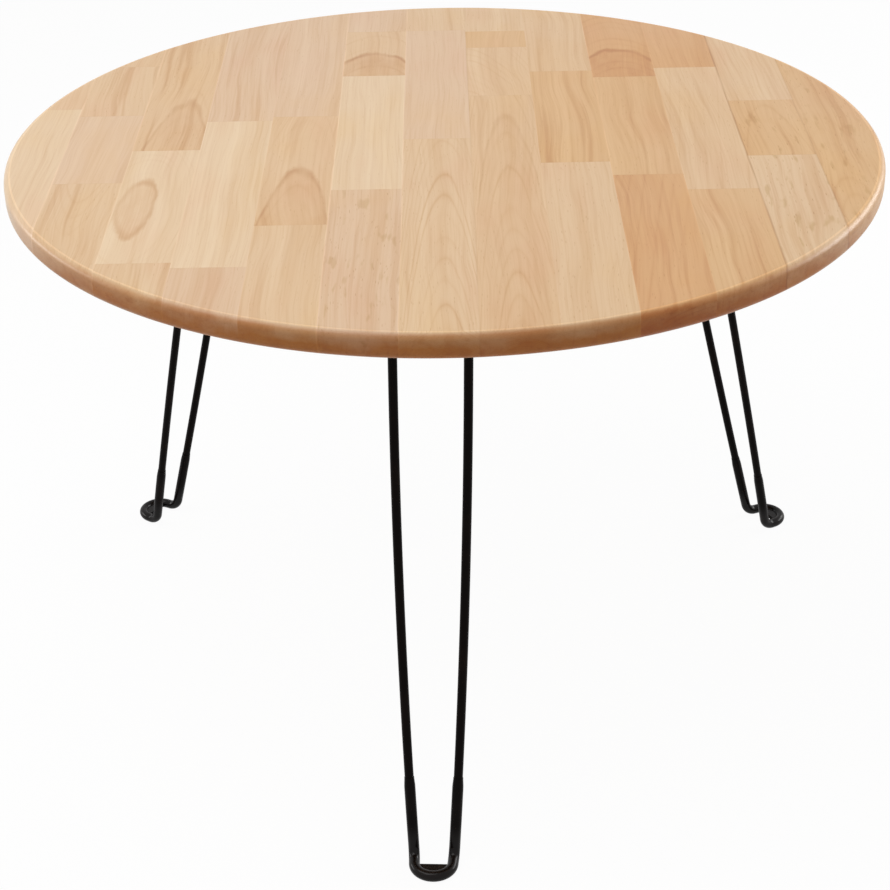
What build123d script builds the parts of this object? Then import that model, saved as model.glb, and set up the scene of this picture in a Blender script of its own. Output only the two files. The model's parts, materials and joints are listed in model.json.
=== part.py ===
"""Round low table: a glued stave top on three hairpin legs that fold in under it.

Millimetres, +Z up. The origin is on the floor, under the middle of the whole outline. Each leg
is modelled once on the +X side of the table axis, with X outward, and then turned to its place.
"""
from build123d import *
import os
from math import acos, atan2, cos, degrees, radians, sin, sqrt, tan

# ---------------------------------------------------------------- driving dimensions
# Top
table_height = 395.0
top_diameter = 600.0
top_thickness = 17.0
rim_radius = 5.0
inner_stave_count = 11
left_stave_width = 39.5
right_stave_width = 49.0

# Leg wire
front_leg_angle = -93.0
leg_pitch_angle = 120.0
hinge_circle_radius = 195.0
leg_splay_angle = 14.0
rod_diameter = 6.0
rod_spread_at_hinge = 47.5
rod_spread_at_ankle = 27.2
crossbar_bend_radius = 8.0
ankle_bend_radius = 9.0
toe_straight = 2.0

# Foot sleeve
sleeve_wall = 0.65
sleeve_clearance = 0.05
sleeve_top_height = 58.0
web_thickness = 3.0
web_setback = 2.0

# Hinge plate
plate_thickness = 2.0
hinge_clearance = 0.05
crossbar_end_play = 0.6
knuckle_wrap_angle = 285.0
slot_side_gap = 1.4
rod_side_gap = 1.5
tongue_side_gap = 2.2
tongue_length = 50.0
wing_width = 12.0
wing_length = 16.0
window_inboard = 8.0
window_outboard = 2.0
stop_gap = 0.3
stop_depth = 16.0
stop_bend_radius = 1.0
plate_corner_radius = 3.0
ear_corner_radius = 4.0

# Wood screws
screw_length = 14.0
screw_shank_diameter = 3.6
screw_head_diameter = 7.6
screw_tip_length = 4.0
screw_hole_clearance = 0.2
pilot_clearance = 0.02
countersink_angle = 90.0
wing_screw_inset = 6.0
tongue_screw_inset = 11.0
tongue_screw_spacing = 24.0

# Friction spring and its rivets
spring_thickness = 0.8
spring_width = 9.0
spring_side_gap = 1.0
spring_clearance = 0.05
spring_tail_inset = 4.0
spring_sweep_radius = 4.0
spring_wrap_angle = 160.0
spring_corner_radius = 2.0
rivet_diameter = 3.0
rivet_clearance = 0.02
rivet_top_diameter = 4.4
rivet_head_diameter = 5.4
rivet_head_height = 1.1
rivet_end_distance = 6.0
rivet_pitch = 11.0

# ---------------------------------------------------------------- derived sizes
top_radius = top_diameter / 2
underside = table_height - top_thickness
inner_stave_width = (top_diameter - left_stave_width - right_stave_width) / inner_stave_count
stave_widths = [left_stave_width] + [inner_stave_width] * inner_stave_count + [right_stave_width]

leg_turns = {
    "front": front_leg_angle,
    "right": front_leg_angle + leg_pitch_angle,
    "left": front_leg_angle + 2 * leg_pitch_angle,
}

rod_radius = rod_diameter / 2
bore_radius = rod_radius + hinge_clearance
knuckle_radius = bore_radius + plate_thickness
hinge_height = underside - knuckle_radius
plate_face = underside - plate_thickness
plate_mid = underside - plate_thickness / 2

sleeve_bore_radius = rod_radius + sleeve_clearance
sleeve_radius = sleeve_bore_radius + sleeve_wall

knuckle_gap = spring_width + 2 * spring_side_gap
knuckle_reach = rod_spread_at_hinge / 2 - crossbar_bend_radius - crossbar_end_play
knuckle_width = knuckle_reach - knuckle_gap / 2
slot_width = 2 * (knuckle_reach + slot_side_gap)
window_width = rod_spread_at_hinge + rod_diameter + 2 * rod_side_gap
tongue_width = rod_spread_at_hinge - rod_diameter - 2 * tongue_side_gap
wing_span = window_width + 2 * wing_width
tongue_end = hinge_circle_radius - tongue_length
wing_end = hinge_circle_radius - wing_length
window_end = hinge_circle_radius - window_inboard
window_length = window_inboard + window_outboard

head_radius = screw_head_diameter / 2
shank_radius = screw_shank_diameter / 2
head_height = (head_radius - shank_radius) / tan(radians(countersink_angle) / 2)
tongue_screw_reach = tongue_end + tongue_screw_inset
wing_screw_reach = hinge_circle_radius - wing_screw_inset
screw_points = [
    (tongue_screw_reach, -tongue_screw_spacing / 2),
    (tongue_screw_reach, tongue_screw_spacing / 2),
    (wing_screw_reach, -(wing_span - wing_width) / 2),
    (wing_screw_reach, (wing_span - wing_width) / 2),
]
spring_tail = tongue_end + spring_tail_inset
first_rivet_reach = spring_tail + rivet_end_distance
rivet_points = [(first_rivet_reach, 0), (first_rivet_reach + rivet_pitch, 0)]

os.makedirs("parts", exist_ok=True)

# ---------------------------------------------------------------- the leg's centre line
# The leg lies in a plane that holds the crossbar and leans out by the splay. Only its toe leaves
# that plane, bent up level with the floor. Half of it is drawn, from the middle of the crossbar.
outward = Vector(1, 0, 0)
sideways = Vector(0, 1, 0)
down_leg = Vector(sin(radians(leg_splay_angle)), 0, -cos(radians(leg_splay_angle)))
across_leg = Vector(cos(radians(leg_splay_angle)), 0, sin(radians(leg_splay_angle)))
hinge_point = Vector(hinge_circle_radius, 0, hinge_height)

# The shin is an arc that starts straight down the leg and draws in towards the ankle. How far it
# draws in sets how much the ankle turns, and that in turn sets how long the shin is, so the
# three are worked out together in a few passes.
refinement_passes = 4
leg_length = (hinge_height - sleeve_radius) / cos(radians(leg_splay_angle))
shin_run = leg_length - crossbar_bend_radius - ankle_bend_radius
for refinement in range(refinement_passes):
    draw_in = 2 * atan2((rod_spread_at_hinge - rod_spread_at_ankle) / 2, shin_run)
    ankle_turn = acos(cos(draw_in) ** 2 * sin(radians(leg_splay_angle)) + sin(draw_in) ** 2)
    ankle_reach = ankle_bend_radius * tan(ankle_turn / 2)
    shin_run = leg_length - crossbar_bend_radius - ankle_reach * cos(draw_in)

corner_start = hinge_point + sideways * (rod_spread_at_hinge / 2 - crossbar_bend_radius)
corner_end = hinge_point + sideways * rod_spread_at_hinge / 2 + down_leg * crossbar_bend_radius
ankle_level = down_leg * (crossbar_bend_radius + shin_run)
ankle_start = hinge_point + sideways * rod_spread_at_ankle / 2 + ankle_level
down_shin = down_leg * cos(draw_in) - sideways * sin(draw_in)
along_toe = outward * cos(draw_in) - sideways * sin(draw_in)
ankle_end = ankle_start + (down_shin + along_toe) * ankle_reach

# The toe's arc is centred between the two rods, so its tip is square to them.
toe_start = ankle_end + along_toe * toe_straight
toe_radius = toe_start.Y / along_toe.X
toe_centre_reach = toe_start.X + toe_radius * along_toe.Y
toe_tip = Vector(toe_centre_reach + toe_radius, 0, toe_start.Z)

with BuildLine() as half_leg:
    Line(hinge_point, corner_start)
    TangentArc(corner_start, corner_end, tangent=sideways)
    shin = TangentArc(corner_end, ankle_start, tangent=down_leg)
    ankle = TangentArc(ankle_start, ankle_end, tangent=down_shin)
    toe_side = Line(ankle_end, toe_start)
    toe = TangentArc(toe_start, toe_tip, tangent=along_toe)

# The sleeve covers the wire from sleeve_top_height down to the toe.
shin_drop = corner_end.Z - ankle_start.Z
sleeve_start = (corner_end.Z - sleeve_top_height) / shin_drop
with BuildLine() as half_sleeve:
    add(shin.trim(sleeve_start, 1))
    add(ankle)
    add(toe_side)
    add(toe)

# The front leg reaches furthest from the table axis, so the axis stands behind the origin.
front_turn = radians(leg_turns["front"])
front_reach = -toe_centre_reach * sin(front_turn) + toe_radius + sleeve_radius
axis_setback = (max(front_reach, top_radius) - top_radius) / 2


def leg_place(turn):
    """Where a leg modelled on the +X side of the table axis goes."""
    return Location((0, axis_setback, 0), (0, 0, turn))


def write_piece(part, name):
    """Label a finished piece and write it as one STEP file."""
    part.label = name
    export_step(part, f"parts/{name}.step")


def screw_shape(room=0.0):
    """A pointed countersunk screw standing on its head at z = 0, with room round its sides."""
    with BuildPart() as screw:
        with BuildSketch(Plane.XZ):
            with BuildLine():
                Polyline(
                    (0, 0),
                    (head_radius + room, 0),
                    (shank_radius + room, head_height),
                    (shank_radius + room, screw_length - screw_tip_length),
                    (0, screw_length + room),
                    close=True,
                )
            make_face()
        revolve(axis=Axis.Z)
    return screw.part


# ---------------------------------------------------------------- top
screw_room = screw_shape(pilot_clearance)
with BuildPart() as disc:
    with BuildSketch(Plane.XY.offset(underside)):
        with Locations((0, axis_setback)):
            Circle(top_radius)
    extrude(amount=top_thickness)
    fillet(disc.edges().filter_by(GeomType.CIRCLE), radius=rim_radius)
    # Pilot holes for the screws of all three hinge plates
    for turn in leg_turns.values():
        with Locations(leg_place(turn)):
            with Locations(*[(reach, side, plate_face) for reach, side in screw_points]):
                add(screw_room, mode=Mode.SUBTRACT)

glue_line = -top_radius
for number, width in enumerate(stave_widths, start=1):
    with BuildPart() as stave:
        add(disc.part)
        with BuildSketch(Plane.XY.offset(underside)):
            with Locations((glue_line, axis_setback)):
                Rectangle(width, top_diameter, align=(Align.MIN, Align.CENTER))
        extrude(amount=top_thickness, mode=Mode.INTERSECT)
    write_piece(stave.part, f"top_stave_{number:02d}")
    glue_line += width

# ---------------------------------------------------------------- leg wire and foot sleeve
# Each is swept along half of the leg and mirrored across the leg's middle plane.
with BuildPart() as leg_rod:
    with BuildSketch(Plane(origin=half_leg.line @ 0, z_dir=sideways)):
        Circle(rod_radius)
    sweep(path=half_leg.line)
    mirror(about=Plane.XZ)

sleeve_mouth = Plane(origin=half_sleeve.line @ 0, z_dir=half_sleeve.line % 0)
with BuildPart() as foot_sleeve:
    with BuildSketch(sleeve_mouth):
        Circle(sleeve_radius)
        Circle(sleeve_bore_radius, mode=Mode.SUBTRACT)
    sweep(path=half_sleeve.line)
    mirror(about=Plane.XZ)
    # A web closes the bend of the toe, its edge inside the sleeve's wall
    with BuildSketch(Plane.XY.offset(toe_start.Z - web_thickness / 2)):
        with Locations((toe_centre_reach, 0)):
            Circle(toe_radius - sleeve_bore_radius - sleeve_wall / 4)
        with Locations((toe_centre_reach + web_setback, 0)):
            Rectangle(
                toe_radius, 2 * toe_radius, align=(Align.MIN, Align.CENTER), mode=Mode.INTERSECT
            )
    extrude(amount=web_thickness)

# ---------------------------------------------------------------- hinge plate
# One strip of steel: flat against the top, then bent down outboard of the rods as a stop that
# lies along the open leg.
stop_offset = rod_radius + stop_gap + plate_thickness / 2
stop_line = hinge_point + across_leg * stop_offset
stop_end = stop_line + down_leg * stop_depth
stop_corner = stop_line - down_leg * ((plate_mid - stop_line.Z) / cos(radians(leg_splay_angle)))

with BuildPart() as hinge_plate:
    with BuildSketch(Plane.XZ):
        with BuildLine():
            FilletPolyline(
                (tongue_end, plate_mid),
                (stop_corner.X, plate_mid),
                (stop_end.X, stop_end.Z),
                radius=stop_bend_radius + plate_thickness / 2,
            )
        trace(line_width=plate_thickness)
    extrude(amount=wing_span / 2, both=True)

    # Plan of the blank: a tongue between the rods, wings outside them, a window for the leg
    with BuildSketch(Plane.XY.offset(underside)):
        with Locations((tongue_end, 0)):
            Rectangle(tongue_length, tongue_width, align=(Align.MIN, Align.CENTER))
        with Locations((wing_end, 0)):
            Rectangle(
                stop_end.X + plate_thickness - wing_end, wing_span, align=(Align.MIN, Align.CENTER)
            )
        with Locations((window_end, 0)):
            Rectangle(
                window_length, window_width, align=(Align.MIN, Align.CENTER), mode=Mode.SUBTRACT
            )
            Rectangle(
                stop_end.X + 2 * plate_thickness - window_end,
                slot_width,
                align=(Align.MIN, Align.CENTER),
                mode=Mode.SUBTRACT,
            )
    extrude(amount=-(underside - stop_end.Z + plate_thickness), mode=Mode.INTERSECT)
    tongue_corners = hinge_plate.edges().filter_by(Axis.Z).group_by(Axis.X)[0]
    fillet(tongue_corners, radius=plate_corner_radius)
    ear_corners = hinge_plate.edges().filter_by(Axis((0, 0, 0), across_leg)).group_by(Axis.Z)[0]
    fillet(ear_corners, radius=ear_corner_radius)

    # Two knuckles rolled down from the window's edge and round the crossbar
    for side in (-1, 1):
        knuckle_middle = side * (knuckle_gap + knuckle_width) / 2
        with BuildSketch(Plane.XZ.offset(-knuckle_middle)):
            with BuildLine():
                Line((window_end, plate_mid), (hinge_circle_radius, plate_mid))
                CenterArc(
                    (hinge_circle_radius, hinge_height),
                    bore_radius + plate_thickness / 2,
                    start_angle=90,
                    arc_size=-knuckle_wrap_angle,
                )
            trace(line_width=plate_thickness)
        extrude(amount=knuckle_width / 2, both=True)

    # Screw holes, countersunk from below, and rivet holes, countersunk from above
    with Locations(Plane(origin=(0, 0, plate_face), x_dir=outward, z_dir=(0, 0, -1))):
        with Locations(*[(reach, -side) for reach, side in screw_points]):
            CounterSinkHole(
                shank_radius + screw_hole_clearance,
                head_radius,
                counter_sink_angle=countersink_angle,
            )
    with Locations(Plane.XY.offset(underside)):
        with Locations(*rivet_points):
            CounterSinkHole(
                rivet_diameter / 2 + rivet_clearance,
                rivet_top_diameter / 2,
                counter_sink_angle=countersink_angle,
            )

# ---------------------------------------------------------------- screws
one_screw = screw_shape()
with BuildPart() as plate_screws:
    with Locations(Plane.XY.offset(plate_face)):
        with Locations(*screw_points):
            add(one_screw)

# ---------------------------------------------------------------- friction spring
# A leaf that lies under the tongue, rises between the knuckles and hooks round the crossbar
spring_mid = plate_face - spring_thickness / 2
hug_radius = rod_radius + spring_clearance + spring_thickness / 2
rise = hinge_height + hug_radius - spring_mid
rise_run = sqrt((hug_radius + spring_sweep_radius) ** 2 - (hug_radius + spring_sweep_radius - rise) ** 2)
sweep_centre = (hinge_circle_radius - rise_run, spring_mid + spring_sweep_radius)
sweep_turn = degrees(atan2(rise_run, hug_radius + spring_sweep_radius - rise))
with BuildPart() as friction_spring:
    with BuildSketch(Plane.XZ):
        with BuildLine():
            Line((spring_tail, spring_mid), (sweep_centre[0], spring_mid))
            CenterArc(sweep_centre, spring_sweep_radius, start_angle=-90, arc_size=sweep_turn)
            CenterArc(
                (hinge_circle_radius, hinge_height),
                hug_radius,
                start_angle=90 + sweep_turn,
                arc_size=-(sweep_turn + spring_wrap_angle),
            )
        trace(line_width=spring_thickness)
    extrude(amount=spring_width / 2, both=True)
    tail_corners = friction_spring.edges().filter_by(Axis.Z).group_by(Axis.X)[0]
    fillet(tail_corners, radius=spring_corner_radius)
    with Locations(Plane.XY.offset(plate_face)):
        with Locations(*rivet_points):
            Hole(rivet_diameter / 2 + rivet_clearance)

# ---------------------------------------------------------------- spring rivets
# Flush above the plate, domed below the leaf
shank = rivet_diameter / 2
top_flare = rivet_top_diameter / 2
flare_height = (top_flare - shank) / tan(radians(countersink_angle) / 2)
grip = plate_thickness + spring_thickness
dome = rivet_head_diameter / 2
with BuildPart() as spring_rivets:
    with BuildSketch(Plane.XZ):
        with BuildLine():
            Polyline(
                (0, -grip - rivet_head_height),
                (0, 0),
                (top_flare, 0),
                (shank, -flare_height),
                (shank, -grip),
                (dome, -grip),
            )
            RadiusArc(
                (dome, -grip),
                (0, -grip - rivet_head_height),
                (dome**2 + rivet_head_height**2) / (2 * rivet_head_height),
            )
        make_face()
    one_rivet = revolve(axis=Axis.Z, mode=Mode.PRIVATE)
    with Locations(Plane.XY.offset(underside)):
        with Locations(*rivet_points):
            add(one_rivet)

# ---------------------------------------------------------------- the three legs
leg_pieces = {
    "leg_rod": leg_rod,
    "foot_sleeve": foot_sleeve,
    "hinge_plate": hinge_plate,
    "plate_screws": plate_screws,
    "friction_spring": friction_spring,
    "spring_rivets": spring_rivets,
}
for leg_name, turn in leg_turns.items():
    for piece_name, piece in leg_pieces.items():
        with BuildPart() as placed:
            with Locations(leg_place(turn)):
                add(piece.part)
        write_piece(placed.part, f"{leg_name}_{piece_name}")
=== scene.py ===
"""Finish for the round folding table: a glued rubberwood top on three black hairpin legs.

Metres, +Z up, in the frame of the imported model. The origin is on the floor. The grain of the top
runs along Y. Lengths in the tables of boards are millimetres, measured from the table axis.
"""
import json
import logging
import math
from dataclasses import dataclass, field
from enum import Enum
from typing import Any

import bmesh
import bpy
from mathutils import Matrix, Vector


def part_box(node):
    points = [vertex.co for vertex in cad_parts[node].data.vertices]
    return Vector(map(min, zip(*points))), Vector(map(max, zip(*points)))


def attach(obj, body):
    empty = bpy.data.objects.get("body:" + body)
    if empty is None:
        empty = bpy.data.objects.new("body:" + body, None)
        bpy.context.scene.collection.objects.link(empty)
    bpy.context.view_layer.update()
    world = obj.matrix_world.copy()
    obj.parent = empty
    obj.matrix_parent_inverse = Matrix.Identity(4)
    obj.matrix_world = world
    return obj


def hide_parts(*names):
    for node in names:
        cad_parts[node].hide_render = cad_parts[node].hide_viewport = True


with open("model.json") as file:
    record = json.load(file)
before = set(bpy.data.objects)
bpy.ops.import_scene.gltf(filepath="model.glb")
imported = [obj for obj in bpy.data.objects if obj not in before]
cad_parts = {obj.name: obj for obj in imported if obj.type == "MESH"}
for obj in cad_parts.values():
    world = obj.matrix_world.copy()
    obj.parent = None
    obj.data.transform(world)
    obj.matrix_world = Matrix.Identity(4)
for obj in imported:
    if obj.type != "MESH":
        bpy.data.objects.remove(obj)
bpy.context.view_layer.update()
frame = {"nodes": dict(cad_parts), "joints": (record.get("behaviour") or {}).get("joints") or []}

MM = 0.001
WHITE = (1.0, 1.0, 1.0, 1.0)
DISPLAY_KNEE, DISPLAY_SLOPE, DISPLAY_BEND, DISPLAY_GAMMA = 0.04045, 12.92, 0.055, 2.4
Colour = tuple[float, float, float]
Along = tuple[float, float, float]    # one number for each axis
Feeds = dict[str, Any]    # values or signals, by the identifier or else the name of an input
log = logging.getLogger("round_table")


def linear(*display: float) -> Colour:
    """Turn a display colour into the linear one that a shader takes.

    Args:
        display: Red, green and blue, 0 to 255.

    Returns:
        The linear colour, 0 to 1.
    """
    shares = [value / 255 for value in display]
    bent = [((share + DISPLAY_BEND) / (1 + DISPLAY_BEND)) ** DISPLAY_GAMMA for share in shares]
    return tuple(low / DISPLAY_SLOPE if low <= DISPLAY_KNEE else high for low, high in zip(shares, bent))


# ---- node trees


class Signal:
    """What a socket puts out. It can be reckoned with as a number or a vector can."""

    def __init__(self, sketch: "NodeSketch", socket: bpy.types.NodeSocket) -> None:
        """Take up a socket of the tree that a sketch writes in."""
        self.sketch, self.socket = sketch, socket

    def __add__(self, other: Any) -> "Signal":
        """Add a number or signal."""
        return self.sketch.math("ADD", self, other)

    def __sub__(self, other: Any) -> "Signal":
        """Take off a number or signal."""
        return self.sketch.math("SUBTRACT", self, other)

    def __rsub__(self, number: float) -> "Signal":
        """Take this signal off a number."""
        return self.sketch.math("SUBTRACT", number, self)

    def __mul__(self, other: Any) -> "Signal":
        """Multiply by a number or signal."""
        return self.sketch.math("MULTIPLY", self, other)

    def __truediv__(self, other: Any) -> "Signal":
        """Divide by a number or signal."""
        return self.sketch.math("DIVIDE", self, other)

    def __abs__(self) -> "Signal":
        """Drop the sign."""
        return self.sketch.math("ABSOLUTE", self)

    def held(self) -> "Signal":
        """Hold what a Math node has just worked out between 0 and 1."""
        self.socket.node.use_clamp = True
        return self

    def ramp(self, low: Any, high: Any, to_low: float = 0.0, to_high: float = 1.0) -> "Signal":
        """Map low and high smoothly to two other numbers, hold it there, and rise or fall between."""
        feeds = {"Value": self, "From Min": low, "From Max": high, "To Min": to_low, "To Max": to_high}
        return self.sketch.value("ShaderNodeMapRange", feeds, interpolation_type="SMOOTHSTEP")

    def parts(self) -> tuple["Signal", ...]:
        """Split a vector into its three numbers."""
        return tuple(self.sketch.values("ShaderNodeSeparateXYZ", {"Vector": self}).values())

    def vector(self, operation: str, other: Any) -> "Signal":
        """Put a vector and another one through a Vector Math node."""
        feeds = {"Vector": self, "Vector_001": other}
        return self.sketch.value("ShaderNodeVectorMath", feeds, operation=operation)

    def noise(self, cycles: Along, detail: float = 2.0) -> "Signal":
        """Read a noise of so many cycles per metre along each axis, about 0.5 on average."""
        feeds = {"Vector": self.vector("MULTIPLY", cycles), "Scale": 1.0, "Detail": detail}
        return self.sketch.value("ShaderNodeTexNoise", feeds)


class NodeSketch:
    """Adds nodes to one tree and links them as they are added."""

    def __init__(self, tree: bpy.types.NodeTree) -> None:
        """Start on a shader or geometry tree."""
        self.tree = tree

    def feed(self, node: bpy.types.Node, feeds: Feeds) -> None:
        """Set or link the inputs of a node.

        Args:
            node: The node.
            feeds: What its inputs take.
        """
        sockets = {socket.name: socket for socket in node.inputs}
        sockets.update({socket.identifier: socket for socket in node.inputs})
        for name, value in feeds.items():
            if isinstance(value, Signal):
                self.tree.links.new(value.socket, sockets[name])
            else:
                sockets[name].default_value = value

    def add(self, kind: str, feeds: Feeds | None = None, **settings: Any) -> bpy.types.Node:
        """Add one node.

        Args:
            kind: Blender's name of the node's type.
            feeds: What its inputs take.
            settings: Properties to set on the node before its inputs.

        Returns:
            The new node.
        """
        node = self.tree.nodes.new(kind)
        for name, value in settings.items():
            setattr(node, name, value)
        self.feed(node, feeds or {})
        return node

    def value(self, kind: str, feeds: Feeds | None = None, pick: int | str = 0, **settings: Any) -> Signal:
        """Add one node and take up the output that a number or name picks."""
        return Signal(self, self.add(kind, feeds, **settings).outputs[pick])

    def values(self, kind: str, feeds: Feeds | None = None, **settings: Any) -> dict[str, Signal]:
        """Add one node and take up its outputs by name."""
        return {socket.name: Signal(self, socket) for socket in self.add(kind, feeds, **settings).outputs}

    def math(self, operation: str, first: Any, second: Any = 0.0) -> Signal:
        """Put one or two numbers or signals through a Math node."""
        return self.value("ShaderNodeMath", {"Value": first, "Value_001": second}, operation=operation)

    def choose(self, which: Signal, first: Signal, second: Signal) -> Signal:
        """Take the first signal where a switch is 0 and the second where it is 1."""
        feeds = {"Factor_Float": which, "A_Float": first, "B_Float": second}
        return self.value("ShaderNodeMix", feeds, data_type="FLOAT")

    def blend(self, first: Any, mask: Signal, second: Colour, way: str = "MULTIPLY") -> Signal:
        """Multiply a colour by a tint, or mix it with another, by as much as a mask says."""
        feeds = {"Factor_Float": mask, "A_Color": first, "B_Color": (*second, 1.0)}
        return self.value("ShaderNodeMix", feeds, pick=2, data_type="RGBA", blend_type=way)

    def bump(self, height: Signal, distance: float, strength: float = 0.5) -> Signal:
        """Turn a height into a normal."""
        return self.value("ShaderNodeBump", {"Height": height, "Distance": distance, "Strength": strength})

    def give(self, results: dict[str, Signal]) -> bpy.types.NodeTree:
        """Put out a group's results by name, and hand over the finished tree."""
        self.feed(self.tree.nodes.new("NodeGroupOutput"), results)
        return self.tree

    def give_mesh(self, name: str, mesh: Signal, finish: Signal) -> bpy.types.NodeTree:
        """End a geometry tree: its instances made real, dressed and put out.

        Args:
            name: The output's name.
            mesh: What the tree has drawn.
            finish: The material that it was given.

        Returns:
            The finished tree.
        """
        mesh = self.value("GeometryNodeRealizeInstances", {"Geometry": mesh})
        mesh = self.value("GeometryNodeSetMaterial", {"Geometry": mesh, "Material": finish})
        return self.give({name: mesh})


def new_group(
    name: str, kind: str, inputs: dict[str, str], outputs: dict[str, str]
) -> tuple[NodeSketch, dict[str, Signal]]:
    """Make an empty node group with named sockets.

    Args:
        name: The group's name.
        kind: "ShaderNodeTree" or "GeometryNodeTree".
        inputs: Short socket type of each input, by name.
        outputs: Short socket type of each output, by name.

    Returns:
        A sketch on the group, and what its inputs bring.
    """
    tree = bpy.data.node_groups.new(name, kind)
    for way, sockets in (("INPUT", inputs), ("OUTPUT", outputs)):
        for label, short_type in sockets.items():
            tree.interface.new_socket(name=label, in_out=way, socket_type=f"NodeSocket{short_type}")
    sketch = NodeSketch(tree)
    return sketch, sketch.values("NodeGroupInput")


def mottle_group() -> bpy.types.NodeTree:
    """Build the fine unevenness that every finish on the table has.

    Returns:
        A shader group that gives a soft mask of smudges and a fine height.
    """
    inputs = {"Position": "Vector", "Smudge Size": "Float", "Grain Size": "Float"}
    outputs = {"Smudge": "Float", "Grain": "Float"}
    sketch, given = new_group("surface_mottle", "ShaderNodeTree", inputs, outputs)
    results = {}
    for output, detail in (("Smudge", 3.0), ("Grain", 2.0)):
        scale = sketch.math("DIVIDE", 1.0, given[f"{output} Size"])
        feeds = {"Vector": given["Position"], "Scale": scale, "Detail": detail}
        results[output] = sketch.value("ShaderNodeTexNoise", feeds, noise_dimensions="4D")
    return sketch.give(results)


MOTTLE = mottle_group()


def new_material(name: str) -> tuple[bpy.types.Material, NodeSketch, bpy.types.Node]:
    """Start a material.

    Args:
        name: The material's name.

    Returns:
        The material, a sketch on its tree, and its Principled shader.
    """
    material = bpy.data.materials.new(name)
    material.use_nodes = True
    return material, NodeSketch(material.node_tree), material.node_tree.nodes["Principled BSDF"]


def mottled(sketch: NodeSketch, smudge_size: float, grain_size: float) -> list[Signal]:
    """Place the mottle in a material.

    Args:
        sketch: The sketch on the material's tree.
        smudge_size: How large the smudges are.
        grain_size: How large the grain is.

    Returns:
        Object coordinates, normals, smudges and grain.
    """
    coordinates = sketch.values("ShaderNodeTexCoord")
    feeds = {"Position": coordinates["Object"], "Smudge Size": smudge_size, "Grain Size": grain_size}
    mottle = sketch.values("ShaderNodeGroup", feeds, node_tree=MOTTLE)
    return [coordinates["Object"], coordinates["Normal"], mottle["Smudge"], mottle["Grain"]]


# ---- boards of the top


class Tone(Enum):
    """Colours that rubberwood boards come in, as display colours under clear lacquer."""

    CREAM = (223, 194, 158)
    ROSE = (217, 184, 150)
    HONEY = (218, 185, 146)
    WHEAT = (217, 182, 141)
    AMBER = (213, 172, 123)
    RUST = (209, 161, 110)


class Cut(Enum):
    """How a board lay in its log: pith aside, pith below, tilt and bow of the pith, ring width, core.

    The offsets are in millimetres, the tilt is a slope and the bow is per metre. The core is how
    far the heartwood reaches past the ring that touches the board's face at its apex.
    """

    FLAT = (0.0, 60.0, 0.048, 0.0, 1.45, 0.0)
    POINTED = (0.0, 42.0, 0.035, 0.0, 1.15, 0.0)
    INVERTED = (0.0, 42.0, -0.05, 0.0, 1.3, 0.0)
    SHALLOW = (0.0, 90.0, 0.16, 0.0, 2.2, 0.0)
    OVAL = (0.0, 40.0, 0.0, 0.95, 1.7, 1.7)
    RIFT = (48.0, 60.0, 0.012, 0.0, 3.1, 0.0)
    QUARTER = (95.0, 20.0, 0.004, 0.0, 3.4, 0.0)


@dataclass(frozen=True)
class Board:
    """One board of a stave. Its near end is where it meets the next board towards -Y."""

    near_end: float
    tone: Tone
    cut: Cut = Cut.RIFT
    apex: float = 0.0
    aside: float = 0.0
    lean: float = 0.0
    rings: float = 0.4
    heart: float = 0.0
    flecks: float = 0.45
    streaks: float = 0.4


@dataclass(frozen=True)
class Stave:
    """Boards joined end to end, and how light (1) or dark (-1) the glue line on the left shows."""

    left_seam: float
    boards: tuple[Board, ...]


RIM = -400.0    # the near end of a stave's last board, past the rim
OUT_OF_REACH = 1.0    # metres, for a side where no glue bounds a board
BOARD_VALUES = ("tone", "pith", "run", "rings", "marks", "low", "high", "seams")

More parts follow.
